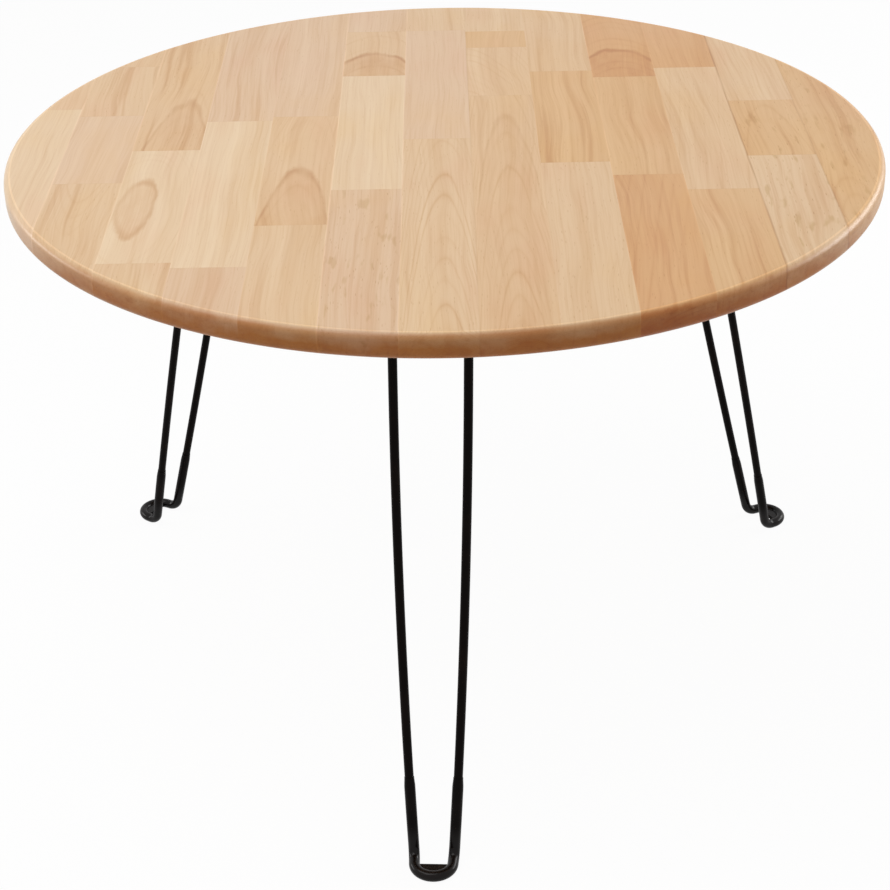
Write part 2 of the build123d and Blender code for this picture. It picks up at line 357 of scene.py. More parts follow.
STAVES: tuple[Stave, ...] = (
    Stave(0.0, (
        Board(75, Tone.HONEY, Cut.QUARTER, flecks=0.2, streaks=0.3),
        Board(RIM, Tone.CREAM, Cut.QUARTER, flecks=0.25, streaks=0.35),
    )),
    Stave(1.0, (
        Board(165, Tone.WHEAT, Cut.RIFT, aside=-30, streaks=0.5),
        Board(60, Tone.HONEY, Cut.RIFT, aside=-30, streaks=0.9),
        Board(-66, Tone.ROSE, Cut.QUARTER, flecks=0.15, streaks=0.15, rings=0.15),
        Board(RIM, Tone.HONEY, Cut.INVERTED, apex=-122, aside=-2, rings=0.5, streaks=0.8),
    )),
    Stave(0.8, (
        Board(-9, Tone.WHEAT, Cut.FLAT, apex=82, aside=6, rings=0.25, heart=0.45, flecks=0.5, streaks=0.9),
        Board(-195, Tone.CREAM, Cut.OVAL, apex=-111, aside=-9, rings=0.35, heart=0.7, flecks=0.2),
        Board(RIM, Tone.HONEY, Cut.RIFT, streaks=1.0, flecks=0.5),
    )),
    Stave(0.5, (
        Board(45, Tone.ROSE, Cut.QUARTER, streaks=0.7, flecks=0.4),
        Board(-203, Tone.CREAM, Cut.QUARTER, streaks=0.35, flecks=0.3),
        Board(RIM, Tone.ROSE, Cut.QUARTER, streaks=0.4),
    )),
    Stave(0.3, (
        Board(52, Tone.ROSE, Cut.QUARTER, streaks=0.45),
        Board(-141, Tone.WHEAT, Cut.FLAT, apex=-48, aside=1, rings=0.4, heart=0.75, flecks=0.4),
        Board(RIM, Tone.HONEY, Cut.QUARTER, streaks=0.45, flecks=0.4),
    )),
    Stave(1.0, (
        Board(238, Tone.ROSE, Cut.QUARTER),
        Board(135, Tone.WHEAT, Cut.SHALLOW, apex=184, rings=0.5, heart=1.0, flecks=0.5),
        Board(-85, Tone.CREAM, Cut.QUARTER, streaks=0.25, flecks=0.3),
        Board(RIM, Tone.ROSE, Cut.QUARTER, streaks=0.6, flecks=0.8),
    )),
    Stave(0.8, (
        Board(238, Tone.HONEY, Cut.QUARTER),
        Board(4, Tone.ROSE, Cut.QUARTER, streaks=0.25, flecks=0.25, rings=0.25),
        Board(RIM, Tone.HONEY, Cut.POINTED, apex=-30, aside=4, rings=0.9, flecks=0.5, streaks=0.5),
    )),
    Stave(-0.3, (
        Board(234, Tone.HONEY, Cut.QUARTER, streaks=0.4),
        Board(195, Tone.AMBER, Cut.QUARTER, streaks=0.3, flecks=0.2),
        Board(88, Tone.WHEAT, Cut.SHALLOW, apex=210, aside=-30, rings=0.5, streaks=0.3, flecks=0.3),
        Board(RIM, Tone.WHEAT, Cut.POINTED, apex=45, aside=1, rings=0.8, heart=0.3, streaks=0.5),
    )),
    Stave(0.1, (
        Board(138, Tone.WHEAT, Cut.QUARTER, flecks=0.4, streaks=0.5),
        Board(-44, Tone.AMBER, Cut.RIFT, aside=-20, rings=0.6, streaks=1.0, flecks=0.4),
        Board(RIM, Tone.HONEY, Cut.QUARTER, streaks=0.35, flecks=0.6),
    )),
    Stave(0.7, (
        Board(123, Tone.RUST, Cut.SHALLOW, apex=183, aside=-1, rings=0.6, heart=1.0, flecks=0.3),
        Board(-68, Tone.AMBER, Cut.RIFT, streaks=0.8, rings=0.5),
        Board(RIM, Tone.RUST, Cut.RIFT, lean=0.12, rings=0.8, streaks=1.0, flecks=0.5),
    )),
    Stave(0.5, (
        Board(141, Tone.RUST, Cut.QUARTER, streaks=0.4),
        Board(-95, Tone.WHEAT, Cut.QUARTER, lean=0.1, streaks=0.6, flecks=0.5),
        Board(RIM, Tone.AMBER, Cut.QUARTER, streaks=1.0, rings=0.7, flecks=0.5),
    )),
    Stave(-1.0, (
        Board(68, Tone.WHEAT, Cut.RIFT, streaks=0.5),
        Board(-38, Tone.AMBER, Cut.FLAT, apex=25, rings=0.6, flecks=0.8, streaks=0.8),
        Board(RIM, Tone.HONEY, Cut.RIFT, flecks=0.9, streaks=0.7),
    )),
    Stave(-0.5, (
        Board(RIM, Tone.AMBER, Cut.FLAT, apex=10, aside=-12, rings=0.5, flecks=0.8, streaks=1.0),
    )),
)


@dataclass(frozen=True)
class LacqueredWood:
    """Rubberwood under a satin lacquer, figured board by board from the attributes on the mesh.

    The cycles of a noise are counted per metre, and those of the years per ring. A pair of widths
    says how far from a glue plane its line has faded out, and how far it is full.
    """

    name: str = "lacquered_rubberwood"
    specular: float = 0.3
    coat_weight: float = 0.11
    coat_on_ends: float = 0.4
    coat_roughness: float = 0.18
    smudge_size: float = 90 * MM
    grain_size: float = 4 * MM
    roughness: tuple[float, float] = (0.36, 0.46)
    pore_roughness: float = 0.2
    bump_distance: float = 0.12 * MM
    bump_strength: float = 0.6
    fibre_relief: float = 0.25
    pore_relief: float = 0.8
    glue_relief: float = 0.5
    grain_relief: float = 0.25
    seed_skew: float = 0.71
    waver: float = 5 * MM
    waver_cycles: Along = (30, 7, 30)
    wander: float = 26 * MM
    wander_cycles: Along = (9, 5, 9)
    ring_waver: float = 0.9
    ring_sharpness: float = 3.5
    year_cycles: float = 0.8
    ring_cycles: Along = (60, 12, 60)
    ragged_rings: float = 1.1
    ragged_cycles: Along = (95, 40, 95)
    patch_cycles: Along = (45, 20, 45)
    fibre_cycles: Along = (1100, 16, 1100)
    streak_cycles: Along = (190, 4.5, 190)
    cloud_cycles: Along = (24, 7, 24)
    band_cycles: Along = (95, 2.6, 95)
    smudge_cycles: Along = (170, 34, 170)
    pore_cycles: Along = (1 / MM, 1 / (11 * MM), 1 / MM)
    glue_cycles: Along = (50, 18, 50)
    # Painted shade: the rim is tinted darker the further it lies below the face, a little unevenly
    painted_rim_shade_cycles: Along = (38, 38, 60)
    painted_rim_shade_depth: float = 15 * MM
    seam_widths: tuple[float, float] = (1.1 * MM, 0.2 * MM)
    joint_widths: tuple[float, float] = (0.35 * MM, 0.05 * MM)
    joint_strength: float = 0.4
    rosy: Colour = (0.99, 0.94, 0.93)
    golden: Colour = (1.0, 0.975, 0.90)
    latewood: Colour = (0.86, 0.74, 0.60)
    heartwood: Colour = (0.90, 0.80, 0.70)
    heart_edge: Colour = (0.80, 0.66, 0.52)
    streak: Colour = (0.87, 0.77, 0.66)
    smudge: Colour = (0.85, 0.79, 0.65)
    pale_band: Colour = (1.05, 1.09, 1.14)
    dark_band: Colour = (0.93, 0.87, 0.79)
    pore: Colour = (0.72, 0.58, 0.46)
    dark_glue: Colour = (0.72, 0.60, 0.48)
    light_glue: Colour = (1.13, 1.17, 1.25)
    # Rim tint: partly the wood's own darker end grain, partly painted shade on the rim
    end_wood_shade_tint: Colour = (0.62, 0.31, 0.085)
    # Painted highlight along the upper arris
    painted_arris_highlight: Colour = (1.18, 1.19, 1.20)

    def glue_lines(
        self, sketch: NodeSketch, given: dict[str, Signal], uneven: Signal
    ) -> tuple[Signal, Signal]:
        """Draw a thin dark line where boards meet end to end, and a light or dark one between staves.

        Args:
            sketch: The sketch on the figure.
            given: What the figure's inputs bring.
            uneven: How strongly a line shows from place to place.

        Returns:
            Masks of the light lines and of the dark ones.
        """
        x, y, _ = given["Position"].parts()
        low_x, low_y, _ = given["Low"].parts()
        high_x, high_y, _ = given["High"].parts()
        left_seam, right_seam, _ = given["Seams"].parts()
        on_left = sketch.math("LESS_THAN", x - low_x, high_x - x)
        seam = sketch.choose(on_left, right_seam, left_seam)
        beside = sketch.math("MINIMUM", x - low_x, high_x - x).ramp(*self.seam_widths) * uneven
        joint = sketch.math("MINIMUM", y - low_y, high_y - y).ramp(*self.joint_widths) * uneven
        dark_line = (beside * (seam * -1.0)).held()
        return (beside * seam).held(), sketch.math("MAXIMUM", dark_line, joint * self.joint_strength)

    def figure_group(self) -> bpy.types.NodeTree:
        """Build the wood itself as a solid figure, so that rim and faces agree.

        Returns:
            A shader group that takes a board's values and gives its colour, height and masks.
        """
        inputs = {"Position": "Vector", "Normal": "Vector", "Face Height": "Float"}
        inputs.update({name.title(): "Vector" for name in BOARD_VALUES})
        outputs = {"Color": "Color", "Height": "Float", "Pores": "Float", "End Wood And Shade": "Float"}
        sketch, given = new_group("rubberwood_figure", "ShaderNodeTree", inputs, outputs)
        x, y, z = given["Position"].parts()
        pith_x, depth, lean = given["Pith"].parts()
        apex, tilt, bow = given["Run"].parts()
        pitch, ring_strength, heart_strength = given["Rings"].parts()
        flecks, streaks, seed = given["Marks"].parts()
        core = given["Low"].parts()[2]
        offset = sketch.value("ShaderNodeCombineXYZ", {"X": seed, "Y": seed * self.seed_skew, "Z": seed})
        placed = given["Position"].vector("ADD", offset)

        # Distance from the pith, which may run at a slant under the board or bend
        along = y - apex
        waver = placed.noise(self.waver_cycles, 3.0) - 0.5
        aside = x - pith_x - lean * along + waver * self.waver
        below = z - given["Face Height"] + depth + tilt * along + bow * (along * along)
        radius = sketch.math("SQRT", aside * aside + below * below)
        age = (radius - depth) / pitch + waver * self.ring_waver

        # The grain wanders, and so does every mark that is drawn out along it
        drift = (placed.noise(self.wander_cycles) - 0.5) * self.wander + waver * self.waver
        grain = placed.vector("ADD", sketch.value("ShaderNodeCombineXYZ", {"X": drift}))

        # Growth rings: a line at each whole year, strong in some years and faint in others
        line = sketch.math("POWER", abs(sketch.math("FRACT", age) - 0.5) * 2.0, self.ring_sharpness)
        feeds = {"W": age + seed, "Scale": self.year_cycles, "Detail": 1.0}
        strength = sketch.value("ShaderNodeTexNoise", feeds, noise_dimensions="1D")
        line = line * strength.ramp(0.35, 0.7, 0.05, 1.0)
        line = line * placed.noise(self.ring_cycles).ramp(0.3, 0.65, 0.3, 1.0) * ring_strength

        # Heartwood fades out unevenly past the ring that bounds it
        ragged = placed.noise(self.ragged_cycles, 3.0) - 0.5
        depth_in = age - core / pitch + ragged * self.ragged_rings
        inside = depth_in.ramp(0.35, -0.3) * heart_strength * ragged.ramp(-0.2, 0.15, 1.0, 0.6)
        patchy = placed.noise(self.patch_cycles).ramp(0.3, 0.62, 0.25, 1.0)
        edge = abs(depth_in).ramp(0.45, 0.0) * heart_strength * patchy

        # Fibres, wider streaks, clouds, smudges and pores, most of them drawn out along the grain
        fibres = grain.noise(self.fibre_cycles)
        streaked = grain.noise(self.streak_cycles, 3.0).ramp(0.5, 0.72)
        clouds = placed.noise(self.cloud_cycles, 3.0)
        bands = grain.noise(self.band_cycles)
        smudged = grain.noise(self.smudge_cycles).ramp(0.58, 0.72) * flecks.ramp(0.55, 0.9)
        feeds = {"Vector": grain.vector("MULTIPLY", self.pore_cycles), "Scale": 1.0}
        cells = sketch.values("ShaderNodeTexVoronoi", feeds)
        chance = sketch.value("ShaderNodeSeparateColor", {"Color": cells["Color"]})
        pores = cells["Distance"].ramp(0.25, 0.11) * chance.ramp(0.45, 0.95) * flecks
        uneven = placed.noise(self.glue_cycles).ramp(0.3, 0.7, 0.25, 1.0)
        light_line, dark_line = self.glue_lines(sketch, given, uneven)

        # End grain turns darker and more orange under the lacquer, board by board; the tint's quick onset
        # past the arris and its deepening low on the rim are painted shade
        _, facing_y, facing_z = given["Normal"].parts()
        painted_rim_shade = (given["Face Height"] - z).ramp(0.0, self.painted_rim_shade_depth, 0.65, 1.1)
        painted_rim_shade = painted_rim_shade * placed.noise(self.painted_rim_shade_cycles, 3.0).ramp(0.3, 0.7, 0.85, 1.15)
        # Mask of the rim tint: real end grain where the rim faces along the grain, plus painted shade in its
        # quick onset past the arris and its deepening low down
        end_wood_and_shade = abs(facing_z).ramp(0.985, 0.87) * abs(facing_y).ramp(0.2, 0.8, 0.05, 1.0) * painted_rim_shade
        # Painted highlight: a pale line where the upper face turns down into the rim
        arris = facing_z.ramp(0.9995, 0.99) * facing_z.ramp(0.92, 0.975)

        colour = given["Tone"]
        for mask, tint in (
            (clouds.ramp(0.5, 0.75), self.rosy),
            (clouds.ramp(0.5, 0.25), self.golden),
            (bands.ramp(0.52, 0.72, 0.0, 0.8), self.pale_band),
            (bands.ramp(0.48, 0.28, 0.0, 0.8), self.dark_band),
            (line, self.latewood),
            (inside, self.heartwood),
            (edge, self.heart_edge),
            (streaked * streaks, self.streak),
            (fibres.ramp(0.42, 0.75, 0.0, 0.4), self.streak),
            (smudged, self.smudge),
            (pores, self.pore),
            (light_line, self.light_glue),
            (dark_line, self.dark_glue),
            (end_wood_and_shade, self.end_wood_shade_tint),
            (arris, self.painted_arris_highlight),
        ):
            colour = sketch.blend(colour, mask, tint)
        relief = fibres * self.fibre_relief - pores * self.pore_relief - dark_line * self.glue_relief
        return sketch.give({"Color": colour, "Height": relief, "Pores": pores, "End Wood And Shade": end_wood_and_shade})

    def material(self, face_height: float) -> bpy.types.Material:
        """Make the material.

        Args:
            face_height: Height of the top's upper face.

        Returns:
            The material of every stave.
        """
        material, sketch, shader = new_material(self.name)
        position, normal, smudge, grain = mottled(sketch, self.smudge_size, self.grain_size)
        feeds = {"Position": position, "Normal": normal, "Face Height": face_height}
        for name in BOARD_VALUES:
            board = sketch.values("ShaderNodeAttribute", attribute_name=f"board_{name}")
            feeds[name.title()] = board["Vector"]
        figure = sketch.values("ShaderNodeGroup", feeds, node_tree=self.figure_group())
        relief = figure["Height"] + grain * self.grain_relief
        on_ends = self.coat_on_ends * self.coat_weight
        sketch.feed(shader, {
            "Base Color": figure["Color"],
            "Roughness": smudge.ramp(0.3, 0.7, *self.roughness) + figure["Pores"] * self.pore_roughness,
            "Normal": sketch.bump(relief, self.bump_distance, self.bump_strength),
            "Specular IOR Level": self.specular,
            "Coat Weight": figure["End Wood And Shade"].ramp(0.0, 1.0, self.coat_weight, on_ends),
            "Coat Roughness": self.coat_roughness,
        })
        return material


# ---- finishes of the metal and plastic


@dataclass(frozen=True)
class DarkCoat:
    """Satin black paint or soft black plastic, a little dusty, and perhaps rubbed shiny low down."""

    name: str
    colour: Colour
    roughness: float
    specular: float
    grain_size: float
    bump_distance: float = 0.02 * MM
    smudge_size: float = 25 * MM
    dust: float = 0.25
    dust_gain: float = 4.0
    dust_tone: float = 0.004
    uneven: tuple[float, float] = (-0.06, 0.08)
    gloss: float = 0.0
    gloss_roughness: float = 0.12
    gloss_height: float = 14 * MM

    def material(self) -> bpy.types.Material:
        """Make the material.

        Returns:
            The material.
        """
        material, sketch, shader = new_material(self.name)
        position, _, smudge, grain = mottled(sketch, self.smudge_size, self.grain_size)
        gain, lift = 1 + self.dust_gain * self.dust, self.dust_tone * self.dust
        low, high = (self.roughness + change for change in self.uneven)
        dusty = tuple(channel * gain + lift for channel in self.colour)
        sketch.feed(shader, {
            "Base Color": sketch.blend((*self.colour, 1.0), smudge.ramp(0.45, 0.75), dusty, "MIX"),
            "Roughness": smudge.ramp(0.3, 0.7, low, high),
            "Normal": sketch.bump(grain, self.bump_distance),
            "Specular IOR Level": self.specular,
        })
        if self.gloss:
            rubbed = position.parts()[2].ramp(2 * self.gloss_height, self.gloss_height, 0.0, self.gloss)
            sketch.feed(shader, {"Coat Weight": rubbed, "Coat Roughness": self.gloss_roughness})
        return material


@dataclass(frozen=True)
class BareSteel:
    """Bright or tempered steel, with the fine lines of its rolling or turning."""

    name: str
    colour: Colour
    roughness: float
    smudge_size: float = 6 * MM
    grain_size: float = 0.7 * MM
    bump_distance: float = 0.02 * MM
    line_cycles: Along = (900.0, 900.0, 900.0)
    tarnish: Colour = (0.72, 0.70, 0.68)
    line_tint: Colour = (0.8, 0.8, 0.8)
    uneven: tuple[float, float] = (-0.06, 0.12)

    def material(self) -> bpy.types.Material:
        """Make the material.

        Returns:
            The material.
        """
        material, sketch, shader = new_material(self.name)
        position, _, smudge, grain = mottled(sketch, self.smudge_size, self.grain_size)
        lines = position.noise(self.line_cycles, 3.0)
        low, high = (self.roughness + change for change in self.uneven)
        colour = sketch.blend((*self.colour, 1.0), smudge.ramp(0.4, 0.75), self.tarnish)
        sketch.feed(shader, {
            "Base Color": sketch.blend(colour, lines.ramp(0.45, 0.8), self.line_tint),
            "Roughness": lines.ramp(0.3, 0.7, low, high),
            "Normal": sketch.bump(grain, self.bump_distance),
            "Metallic": 1.0,
        })
        return material


class Finish(Enum):
    """The finishes of the metal and plastic parts."""

    WIRE_PAINT = DarkCoat(
        "satin_black_wire", (0.0028, 0.0012, 0.0007), roughness=0.36, specular=0.05, grain_size=1.4 * MM
    )
    SLEEVE = DarkCoat(
        "black_sleeve_plastic", (0.0028, 0.0013, 0.0010), roughness=0.3, specular=0.06, grain_size=2.2 * MM,
        gloss=0.2,
    )
    PLATE_PAINT = DarkCoat(
        "satin_black_plate", (0.010, 0.010, 0.010), roughness=0.42, specular=0.4, grain_size=1.2 * MM,
        bump_distance=0.03 * MM, dust=0.5,
    )
    SPRING = BareSteel("tempered_spring_steel", (0.30, 0.31, 0.34), roughness=0.3)
    ZINC = BareSteel("zinc_plated_steel", (0.62, 0.63, 0.64), roughness=0.32)


# ---- meshes


def add_object(name: str, data: bpy.types.ID) -> bpy.types.Object:
    """Put new data in the scene.

    Args:
        name: The object's name.
        data: Its mesh, curve, light or camera.

    Returns:
        The object, at the origin.
    """
    made = bpy.data.objects.new(name, data)
    bpy.context.scene.collection.objects.link(made)
    return made


def from_nodes(
    name: str, source: bpy.types.ID, tree: bpy.types.NodeTree, values: dict[str, Any]
) -> bpy.types.Object:
    """Run a geometry tree on some data and keep the result as a plain mesh.

    Args:
        name: The new object's name.
        source: The mesh or curve that the tree starts from.
        tree: The geometry tree.
        values: Its inputs by name.

    Returns:
        An object with the finished mesh and no modifier.
    """
    seed = add_object(f"{name}_source", source)
    modifier = seed.modifiers.new("shape", "NODES")
    modifier.node_group = tree
    for item in tree.interface.items_tree:
        if item.item_type == "SOCKET" and item.in_out == "INPUT" and item.name in values:
            modifier[item.identifier] = values[item.name]
    graph = bpy.context.evaluated_depsgraph_get()
    mesh = bpy.data.meshes.new_from_object(seed.evaluated_get(graph))
    mesh.name = name
    mesh.materials.clear()
    mesh.materials.append(values["Finish"])
    bpy.data.objects.remove(seed)
    return add_object(name, mesh)


def skin(solid: bmesh.types.BMesh, rings: list[list[bmesh.types.BMVert]]) -> list[bmesh.types.BMFace]:
    """Join closed rings of points by four-sided faces.

    Args:
        solid: The mesh that holds the points.
        rings: The rings, anticlockwise as seen from past the last one.

    Returns:
        The faces, ring after ring.
    """
    faces = []
    for below, above in zip(rings, rings[1:]):
        for k, point in enumerate(below):
            after = (k + 1) % len(below)
            faces.append(solid.faces.new((point, below[after], above[after], above[k])))
    return faces


@dataclass
class GluedTop:
    """The round top: staves of boards glued edge to edge, turned to a disc with a rounded rim."""

    rim_radius: float = 5 * MM
    rim_steps: int = 7
    fewest_steps: int = 4
    arc_step: float = math.radians(1.25)
    flat_margin: float = 0.8 * MM
    rim_touch: float = 0.01 * MM
    sharp_angle: float = math.radians(40)
    seed_steps: tuple[float, float] = (0.37, 0.13)
    wood: LacqueredWood = field(default_factory=LacqueredWood)

    def __post_init__(self) -> None:
        """Read the staves' places from the frame."""
        self.boxes = [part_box(f"top_stave_{number:02d}") for number in range(1, len(STAVES) + 1)]
        self.radius = max((high.y - low.y) / 2 for low, high in self.boxes)
        widest = max(self.boxes, key=lambda box: box[1].y - box[0].y)
        self.axis_y = (widest[0].y + widest[1].y) / 2
        self.underside, self.face = self.boxes[0][0].z, self.boxes[0][1].z

    def profile(self) -> list[tuple[float, float]]:
        """Work out the rim from the upper face down to the underside.

        Returns:
            Distance from the table axis and height of each ring of the mesh.
        """
        flat = self.radius - self.rim_radius
        quarter = [math.pi / 2 * step / self.rim_steps for step in range(self.rim_steps + 1)]
        upper = [
            (flat + self.rim_radius * math.sin(a), self.face - self.rim_radius * (1 - math.cos(a)))
            for a in quarter
        ]
        lower = [(reach, self.face + self.underside - height) for reach, height in reversed(upper)]
        inner = flat - self.flat_margin
        return [(inner, self.face), *upper, *lower, (inner, self.underside)]

    def outline(self, reach: float, left: float, right: float) -> list[tuple[float, float]]:
        """Work out where one ring of the top runs round a stave.

        Args:
            reach: The ring's radius.
            left: The stave's left glue plane.
            right: The stave's right glue plane.

        Returns:
            Points in plan, anticlockwise from the near left corner.
        """
        at_left = left < self.rim_touch - self.radius
        at_right = right > self.radius - self.rim_touch
        outer_left = -math.pi / 2 if at_left else math.asin(left / self.radius)
        outer_right = math.pi / 2 if at_right else math.asin(right / self.radius)
        steps = max(self.fewest_steps, math.ceil((outer_right - outer_left) / self.arc_step))
        start = outer_left if at_left else math.asin(left / reach)
        end = outer_right if at_right else math.asin(right / reach)
        turns = [start + (end - start) * step / steps for step in range(steps + 1)]
        near = [(reach * math.sin(turn), self.axis_y - reach * math.cos(turn)) for turn in turns]
        far = [(reach * math.sin(turn), self.axis_y + reach * math.cos(turn)) for turn in reversed(turns)]
        if at_right:
            far = far[1:]
        if at_left:
            far = far[:-1]
        return near + far

    def stave_mesh(self, number: int) -> bmesh.types.BMesh:
        """Build one stave as a closed solid.

        Args:
            number: The stave's number, from 1 at the left.

        Returns:
            The mesh, cut across at the ends of its boards.
        """
        low, high = self.boxes[number - 1]
        solid = bmesh.new()
        rings = [
            [solid.verts.new((x, y, height)) for x, y in self.outline(reach, low.x, high.x)]
            for reach, height in self.profile()
        ]
        solid.faces.new(rings[0])
        solid.faces.new(list(reversed(rings[-1])))
        skin(solid, rings[::-1])
        for board in STAVES[number - 1].boards[:-1]:
            geometry = [*solid.verts, *solid.edges, *solid.faces]
            joint = Vector((0, self.axis_y + board.near_end * MM, 0))
            bmesh.ops.bisect_plane(solid, geom=geometry, plane_co=joint, plane_no=(0, 1, 0))
        bmesh.ops.recalc_face_normals(solid, faces=solid.faces)
        glue_planes = [plane for plane in (low.x, high.x) if abs(plane) < self.radius - self.rim_touch]
        for edge in solid.edges:
            reaches = [max(abs(end.co.x - plane) for end in edge.verts) for plane in glue_planes]
            glued = min(reaches) < self.rim_touch
            edge.smooth = not glued and edge.calc_face_angle(0.0) < self.sharp_angle
        return solid

    def mark_boards(self, solid: bmesh.types.BMesh, number: int) -> None:
        """Write each board's values on its faces, for the wood to read.

        Args:
            solid: The stave's mesh.
            number: The stave's number, from 1 at the left.
        """
        layers = {name: solid.faces.layers.float_vector.new(f"board_{name}") for name in BOARD_VALUES}
        low, high = self.boxes[number - 1]
        boards = STAVES[number - 1].boards
        first, last = number == 1, number == len(STAVES)
        left, right = -OUT_OF_REACH if first else low.x, OUT_OF_REACH if last else high.x
        seams = (STAVES[number - 1].left_seam, 0.0 if last else STAVES[number].left_seam, 0.0)
        middle = (low.x + high.x) / 2
        for face in solid.faces:
            face.smooth = True
            reach = (face.calc_center_median().y - self.axis_y) / MM
            index = next(i for i, board in enumerate(boards) if reach > board.near_end)
            board = boards[index]
            far_end = boards[index - 1].near_end * MM if index else OUT_OF_REACH
            pith_aside, depth, tilt, bow, pitch, core = board.cut.value
            face[layers["tone"]] = linear(*board.tone.value)
            face[layers["pith"]] = (middle + (pith_aside + board.aside) * MM, depth * MM, board.lean)
            face[layers["run"]] = (self.axis_y + board.apex * MM, tilt, bow)
            face[layers["rings"]] = (pitch * MM, board.rings, board.heart)
            seed = self.seed_steps[0] * number + self.seed_steps[1] * index
            face[layers["marks"]] = (board.flecks, board.streaks, seed)
            face[layers["low"]] = (left, self.axis_y + board.near_end * MM, core * MM)
            face[layers["high"]] = (right, self.axis_y + far_end, 0.0)
            face[layers["seams"]] = seams

    def build(self) -> list[bpy.types.Object]:
        """Build every stave and dress it.

        Returns:
            The staves, from left to right.
        """
        material = self.wood.material(self.face)
        staves = []
        for number, plan in enumerate(STAVES, start=1):
            solid = self.stave_mesh(number)
            self.mark_boards(solid, number)
            mesh = bpy.data.meshes.new(f"stave_{number:02d}")
            solid.to_mesh(mesh)
            solid.free()
            mesh.materials.append(material)
            stave = add_object(mesh.name, mesh)
            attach(stave, "top")
            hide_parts(f"top_stave_{number:02d}")
            staves.append(stave)
            log.info("%s: %d faces, %d boards", stave.name, len(mesh.polygons), len(plan.boards))
        return staves


# ---- legs


def tangent_arc(start: Vector, end: Vector, tangent: Vector, steps: int) -> list[Vector]:
    """Follow the arc that leaves one point along a direction and reaches another.

    Args:
        start: Where the arc starts.
        end: Where it ends.
        tangent: Its direction at the start, of length 1.
        steps: How many pieces it is divided into.

    Returns:
        The points after the start, to the end.
    """
    chord = end - start
    inward = (chord - tangent * chord.dot(tangent)).normalized()
    rise = chord.dot(inward)
    radius = chord.length_squared / (2 * rise)
    turn = 2 * math.atan2(rise, chord.dot(tangent))
    angles = [turn * step / steps for step in range(1, steps + 1)]
    return [start + tangent * (radius * math.sin(a)) + inward * (radius * (1 - math.cos(a))) for a in angles]


def sweep_tree() -> bpy.types.NodeTree:
    """Build the tree that draws a round wire along a curve.

    Returns:
        The geometry tree.
    """
    inputs = {"Path": "Geometry", "Radius": "Float", "Sides": "Int", "Finish": "Material"}
    sketch, given = new_group("drawn_wire", "GeometryNodeTree", inputs, {"Wire": "Geometry"})
    feeds = {"Resolution": given["Sides"], "Radius": given["Radius"]}
    section = sketch.value("GeometryNodeCurvePrimitiveCircle", feeds)
    wire = sketch.value("GeometryNodeCurveToMesh", {"Curve": given["Path"], "Profile Curve": section})
    wire = sketch.value("GeometryNodeSetShadeSmooth", {"Geometry": wire})
    return sketch.give_mesh("Wire", wire, given["Finish"])


def sleeve_tree() -> bpy.types.NodeTree:
    """Build the tree that draws a soft tube along a curve, with a rounded lip at each mouth.

    Returns:
        The geometry tree.
    """
    inputs = {"Path": "Geometry", **dict.fromkeys(("Bore", "Outside", "Taper", "Weld", "Lip"), "Float")}
    inputs.update({"Sides": "Int", "Finish": "Material"})
    sketch, given = new_group("drawn_sleeve", "GeometryNodeTree", inputs, {"Sleeve": "Geometry"})
    travelled = sketch.value("GeometryNodeSplineParameter", pick="Length")
    from_mouth = sketch.math("MINIMUM", travelled, sketch.value("GeometryNodeSplineLength") - travelled)
    thinned = from_mouth.ramp(0.0, given["Taper"], given["Lip"], 1.0)
    half_wall = (given["Outside"] - given["Bore"]) / 2.0 * thinned
    share = 1.0 - (from_mouth / half_wall).held()
    swell = sketch.math("SQRT", (1.0 - share * share).held()) * half_wall
    middle = given["Bore"] + half_wall
    section = sketch.value("GeometryNodeCurvePrimitiveCircle", {"Resolution": given["Sides"], "Radius": 1.0})
    feeds = {"Curve": given["Path"], "Profile Curve": section}
    outer = sketch.value("GeometryNodeCurveToMesh", {**feeds, "Scale": middle + swell})
    inner = sketch.value("GeometryNodeCurveToMesh", {**feeds, "Scale": middle - swell})
    inner = sketch.value("GeometryNodeFlipFaces", {"Mesh": inner})
    joined = sketch.add("GeometryNodeJoinGeometry")
    for wall in (outer, inner):
        sketch.feed(joined, {"Geometry": wall})
    feeds = {"Geometry": Signal(sketch, joined.outputs[0]), "Distance": given["Weld"]}
    tube = sketch.value("GeometryNodeMergeByDistance", feeds)
    tube = sketch.value("GeometryNodeSetShadeSmooth", {"Geometry": tube})
    return sketch.give_mesh("Sleeve", tube, given["Finish"])


